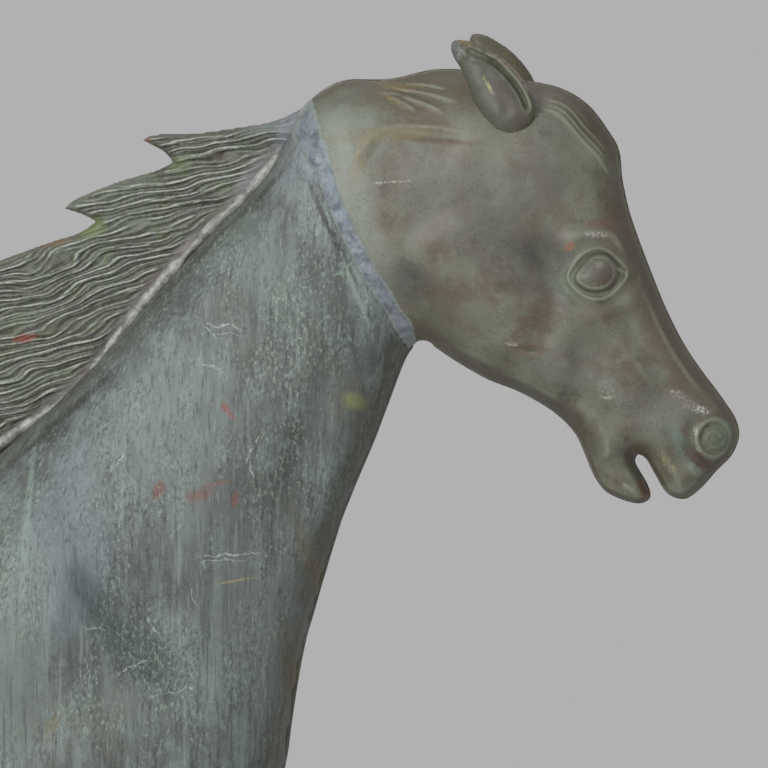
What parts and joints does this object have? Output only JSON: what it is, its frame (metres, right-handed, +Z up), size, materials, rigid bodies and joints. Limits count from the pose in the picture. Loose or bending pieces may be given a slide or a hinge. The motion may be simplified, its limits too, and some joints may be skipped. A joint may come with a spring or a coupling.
{
  "type": "horse weather vane",
  "caption": "Hollow sheet-copper trotting horse with chased mane, head and ears, on a bar and sleeve that turn on a fixed spindle over globes, compass arms, a short mast and a bolted flange.",
  "frame": {"origin": "on the spindle's axis at the underside of the base flange", "axes": "+Z up along the spindle, +X towards the horse's nose at rest, +Y towards the horse's left side"},
  "size_m": [0.7862, 0.5004, 1.0633],
  "materials": {
    "neck_copper": "sheet copper, streaked grey-green patina",
    "head_copper": "sheet copper, smooth dark olive patina",
    "mane_copper": "sheet copper, olive patina with pale ridges",
    "leg_copper": "sheet copper, grey-green patina",
    "solder": "weathered lead-tin solder, dull bluish white",
    "globe_copper": "spun copper, green patina",
    "brass_tube": "weathered drawn brass",
    "cast_brass": "weathered cast brass",
    "arm_brass": "weathered brass rod",
    "letter_brass": "weathered cast brass letters",
    "bearing_bronze": "turned bronze",
    "copper_rivets": "worn copper",
    "bar_iron": "wrought iron, brown and pitted",
    "spindle_steel": "turned steel, lightly rusted",
    "screw_steel": "weathered steel",
    "galvanised_pipe": "galvanised steel pipe, dull",
    "cast_iron": "cast iron, weathered black paint"
  },
  "bodies": {
    "stand": {"base_flange": "cast_iron", "mast_pipe": "galvanised_pipe", "mast_cap": "cast_iron", "spindle": "spindle_steel", "lower_globe_lower_half": "globe_copper", "lower_globe_upper_half": "globe_copper", "upper_globe_lower_half": "globe_copper", "upper_globe_upper_half": "globe_copper", "globe_ferrules": "brass_tube", "compass_hub": "cast_brass", "set_screws": "screw_steel", "arm_east": "arm_brass", "arm_north": "arm_brass", "arm_west": "arm_brass", "arm_south": "arm_brass", "letter_e": "letter_brass", "letter_n": "letter_brass", "letter_w": "letter_brass", "letter_s": "letter_brass", "letter_pins": "screw_steel"},
    "vane": {"pivot_sleeve": "brass_tube", "lower_bush": "bearing_bronze", "upper_bush": "bearing_bronze", "pivot_cup": "bearing_bronze", "sleeve_bracket": "brass_tube", "belly_ferrule": "brass_tube", "bar_cross": "cast_brass", "front_bar": "bar_iron", "rear_bar": "bar_iron", "bar_end_balls": "cast_brass", "hoof_rivets": "copper_rivets", "body_right_shell": "neck_copper", "body_left_shell": "neck_copper", "head_right_shell": "head_copper", "head_left_shell": "head_copper", "right_ear": "head_copper", "left_ear": "head_copper", "mane_right_sheet": "mane_copper", "mane_left_sheet": "mane_copper", "mane_solder_beads": "solder", "throat_solder_bead": "solder", "tail_right_shell": "mane_copper", "tail_left_shell": "mane_copper", "right_foreleg_outer_shell": "leg_copper", "right_foreleg_inner_shell": "leg_copper", "left_foreleg_outer_shell": "leg_copper", "left_foreleg_inner_shell": "leg_copper", "right_hindleg_outer_shell": "leg_copper", "right_hindleg_inner_shell": "leg_copper", "left_hindleg_outer_shell": "leg_copper", "left_hindleg_inner_shell": "leg_copper"}
  },
  "joints": [
    {"name": "vane_turn", "type": "hinge", "parent": "stand", "child": "vane", "pos_m": [0, 0, 0], "axis": [0, 0, 1], "continuous": true}
  ]
}
